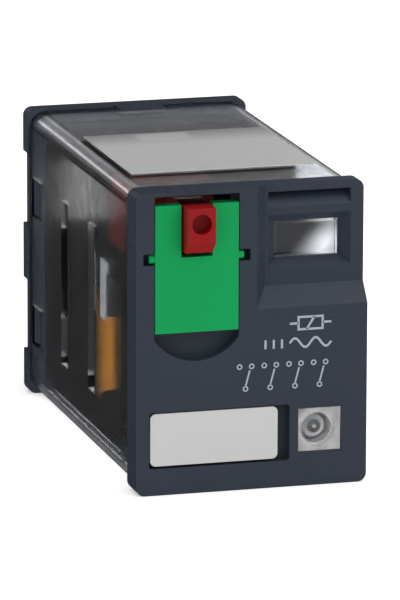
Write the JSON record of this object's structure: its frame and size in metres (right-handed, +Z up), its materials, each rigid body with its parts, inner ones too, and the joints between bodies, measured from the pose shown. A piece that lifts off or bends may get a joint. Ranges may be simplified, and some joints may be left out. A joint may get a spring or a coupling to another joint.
{
  "type": "industrial control relay",
  "caption": "Plug-in control relay with a clear cover, stepped front cap, lock-down door, push-to-test button, flag window, indicator light, legend plate and flat rear blades.",
  "frame": {"origin": "on the plane that the narrow lower side rests on, under the middle of the overall length from the test button to the blade tips, and on the centre line across", "axes": "+Y runs from the front face to the blades, +X is to the right as the front is seen, +Z is up"},
  "size_m": [0.021, 0.0476, 0.027],
  "materials": {
    "shell_blue": "fine moulded texture, dark blue-grey",
    "clear_smoke": "clear smoked polycarbonate",
    "clear_lens": "clear polycarbonate",
    "door_green": "satin green",
    "button_red": "satin red",
    "legend_grey": "light grey, matt",
    "label_silver": "silver-grey printed label",
    "frame_dark": "dark moulded insulating plastic",
    "board": "dark solder-resist board",
    "part_tan": "resistor body",
    "part_dark": "diode body",
    "wire_black": "insulated wire",
    "led_clear": "clear epoxy light",
    "tape_amber": "amber polyester tape",
    "copper": "enamelled copper",
    "iron": "soft iron, zinc plated",
    "tin": "tinned brass blades",
    "silver": "silver contact rivets",
    "bronze": "phosphor bronze",
    "spring_steel": "stainless spring steel",
    "flag_grey": "light grey"
  },
  "bodies": {
    "root": {"base": "shell_blue", "bezel": "shell_blue", "cover": "clear_smoke", "contact_block": "frame_dark", "window_lens": "clear_lens", "led_lens": "clear_lens", "top_label": "label_silver", "led": "led_clear", "led_board": "board", "led_resistor": "part_tan", "led_diode": "part_dark", "led_leads": "wire_black", "bobbin": "frame_dark", "coil_winding": "copper", "coil_tape": "tape_amber", "core": "iron", "yoke": "iron", "coil_leads": "copper", "coil_clips": "spring_steel", "fixed_contacts_nc": "silver", "fixed_contacts_no": "silver", "return_spring": "spring_steel", "button_spring": "spring_steel", "terminal_nc_1": "tin", "terminal_no_1": "tin", "terminal_com_1": "tin", "braid_1": "copper", "terminal_nc_2": "tin", "terminal_no_2": "tin", "terminal_com_2": "tin", "braid_2": "copper", "terminal_nc_3": "tin", "terminal_no_3": "tin", "terminal_com_3": "tin", "braid_3": "copper", "terminal_nc_4": "tin", "terminal_no_4": "tin", "terminal_com_4": "tin", "braid_4": "copper", "terminal_coil_1": "tin", "terminal_coil_2": "tin"},
    "armature": {"armature": "iron", "contact_carrier": "frame_dark", "indicator_flag": "flag_grey", "moving_contacts": "silver", "contact_spring_1": "bronze", "contact_spring_2": "bronze", "contact_spring_3": "bronze", "contact_spring_4": "bronze"},
    "button": {"test_button": "button_red"},
    "door": {"lock_door": "door_green"},
    "legend": {"legend_plate": "legend_grey"}
  },
  "joints": [
    {"name": "armature_pull", "type": "hinge", "parent": "root", "child": "armature", "pos_m": [0, -0.0114, 0.0023], "axis": [-1, 0, 0], "range_deg": [0, 3], "stiffness_Nm_per_rad": 0.05, "springref_deg": -5.73, "deforming": ["braid_1", "braid_2", "braid_3", "braid_4"]},
    {"name": "button_press", "type": "slide", "parent": "root", "child": "button", "axis": [0, 1, 0], "range_m": [0, 0.0015], "stiffness_N_per_m": 400, "springref_m": -0.001, "deforming": ["button_spring"]},
    {"name": "door_open", "type": "hinge", "parent": "root", "child": "door", "pos_m": [-0.00502, -0.02175, 0.02113], "axis": [-1, 0, 0], "range_deg": [0, 90]},
    {"name": "legend_pull", "type": "slide", "parent": "root", "child": "legend", "axis": [0, -1, 0], "range_m": [0, 0.006]}
  ]
}
